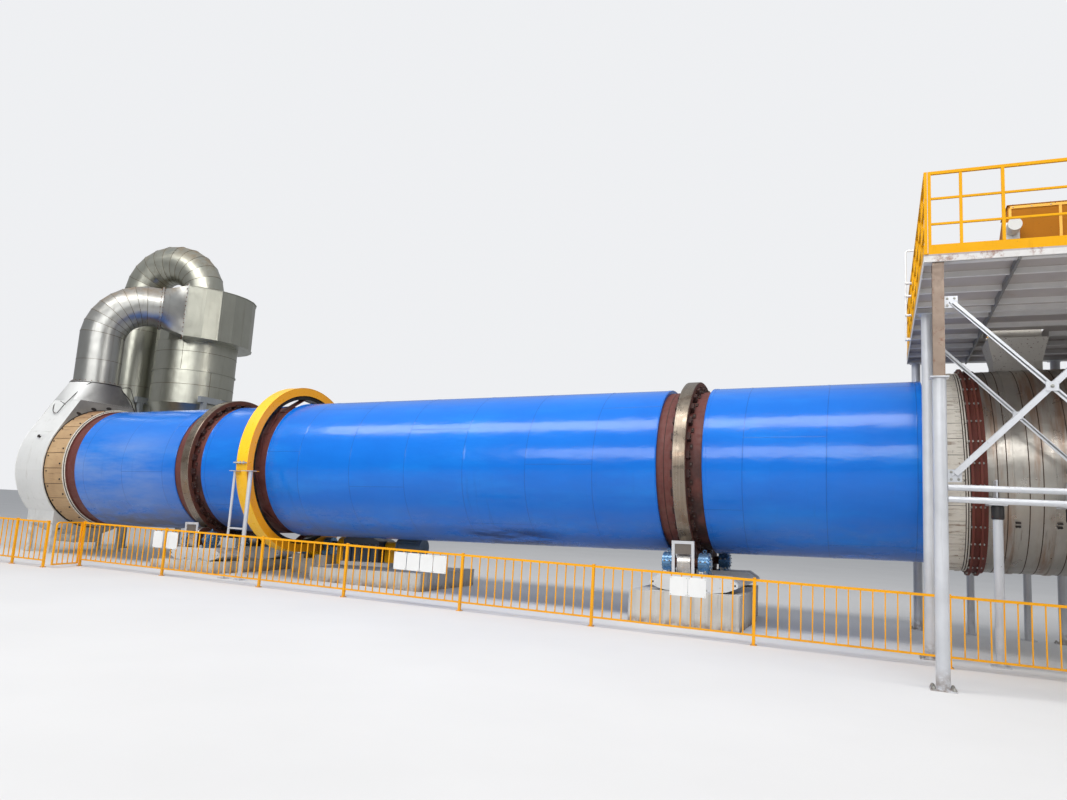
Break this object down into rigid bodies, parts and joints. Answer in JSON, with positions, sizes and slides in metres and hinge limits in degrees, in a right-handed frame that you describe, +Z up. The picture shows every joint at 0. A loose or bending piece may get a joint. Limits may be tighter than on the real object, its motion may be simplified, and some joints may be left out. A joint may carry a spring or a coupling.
{
  "type": "rotary drum dryer",
  "caption": "Rotary drum dryer on trunnion rollers with a girth gear drive, a discharge hood, a cyclone with ducts, a hot-air chamber, a feed platform and a fence.",
  "frame": {"origin": "on the underside of the feed-end pier, at ground level, straight below the drum axis at the middle of the feed-end riding ring", "axes": "+X along the drum to the feed end, +Y away from the walkway, +Z up; the drum axis rises 3 per cent towards +X"},
  "size_m": [31.5662, 10.2474, 10.81],
  "materials": {
    "primer": "satin",
    "drum_blue": "gloss",
    "tread_steel": "polished by running",
    "gear_steel": "greased",
    "guard_yellow": "gloss",
    "bearing_paint": "satin",
    "frame_white": "satin, dusty",
    "silver_paint": "satin",
    "concrete": "rough cast",
    "motor_grey": "satin",
    "seal_tan": "dusty",
    "hood_grey": "satin, dusty",
    "duct_steel": "weathered",
    "seal_white": "rust-stained",
    "rusty_steel": "rusty",
    "chamber_steel": "satin",
    "conveyor_yellow": "satin",
    "fence_yellow": "gloss"
  },
  "bodies": {
    "plant": {"roller_bearings": "bearing_paint", "base_frames": "frame_white", "roller_guards": "silver_paint", "concrete_piers": "concrete", "pinion_bearings": "bearing_paint", "gear_guard_upper": "guard_yellow", "gear_guard_lower": "guard_yellow", "gear_guard_posts": "silver_paint", "gearbox": "motor_grey", "drive_motor": "motor_grey", "coupling_guard": "guard_yellow", "discharge_leaf_seal": "seal_tan", "discharge_hood": "hood_grey", "exhaust_riser": "duct_steel", "inlet_transition": "duct_steel", "cyclone_head": "duct_steel", "cyclone_body": "duct_steel", "outlet_duct": "duct_steel", "cyclone_stand": "silver_paint", "feed_leaf_seal": "seal_white", "feed_flange_rings": "rusty_steel", "chamber_shell": "chamber_steel", "chamber_end_wall": "chamber_steel", "chamber_legs": "silver_paint", "feed_chute": "seal_white", "platform_columns": "silver_paint", "platform_deck": "silver_paint", "platform_railings": "fence_yellow", "platform_bracing": "silver_paint", "conveyor_head": "conveyor_yellow", "conveyor_motor": "motor_grey", "walkway_fence": "fence_yellow"},
    "drum": {"drum_shell": "primer", "drum_sleeves": "drum_blue", "riding_rings": "tread_steel", "ring_pads": "primer", "girth_gear": "gear_steel", "gear_spring_plates": "primer", "discharge_wear_ring": "tread_steel"},
    "feed_front_roller": {"feed_front_roller": "tread_steel"},
    "feed_back_roller": {"feed_back_roller": "tread_steel"},
    "discharge_front_roller": {"discharge_front_roller": "tread_steel"},
    "discharge_back_roller": {"discharge_back_roller": "tread_steel"},
    "pinion": {"pinion": "gear_steel"},
    "gate": {"gate_leaf": "fence_yellow"}
  },
  "joints": [
    {"name": "drum_spin", "type": "hinge", "parent": "plant", "child": "drum", "pos_m": [0, 0, 3.12], "axis": [0.9996, 0, 0.03], "continuous": true},
    {"name": "feed_front_roller_spin", "type": "hinge", "parent": "plant", "child": "feed_front_roller", "pos_m": [0.05818, -1.12015, 1.18072], "axis": [0.9996, 0, 0.03], "continuous": true},
    {"name": "feed_back_roller_spin", "type": "hinge", "parent": "plant", "child": "feed_back_roller", "pos_m": [0.05818, 1.12015, 1.18072], "axis": [0.9996, 0, 0.03], "continuous": true},
    {"name": "discharge_front_roller_spin", "type": "hinge", "parent": "plant", "child": "discharge_front_roller", "pos_m": [-12.93597, -1.12015, 0.79089], "axis": [0.9996, 0, 0.03], "continuous": true},
    {"name": "discharge_back_roller_spin", "type": "hinge", "parent": "plant", "child": "discharge_back_roller", "pos_m": [-12.93597, 1.12015, 0.79089], "axis": [0.9996, 0, 0.03], "continuous": true},
    {"name": "pinion_spin", "type": "hinge", "parent": "plant", "child": "pinion", "pos_m": [-10.72558, 1.05631, 0.81071], "axis": [0.9996, 0, 0.03], "continuous": true},
    {"name": "gate_swing", "type": "hinge", "parent": "plant", "child": "gate", "pos_m": [-14.955, -3.06, 0], "axis": [0, 0, 1], "range_deg": [-103, 0]}
  ],
  "couplings": [
    {"joint": "feed_front_roller_spin", "follows": "drum_spin", "ratio": -6},
    {"joint": "feed_back_roller_spin", "follows": "drum_spin", "ratio": -6},
    {"joint": "discharge_front_roller_spin", "follows": "drum_spin", "ratio": -6},
    {"joint": "discharge_back_roller_spin", "follows": "drum_spin", "ratio": -6},
    {"joint": "pinion_spin", "follows": "drum_spin", "ratio": -8}
  ]
}
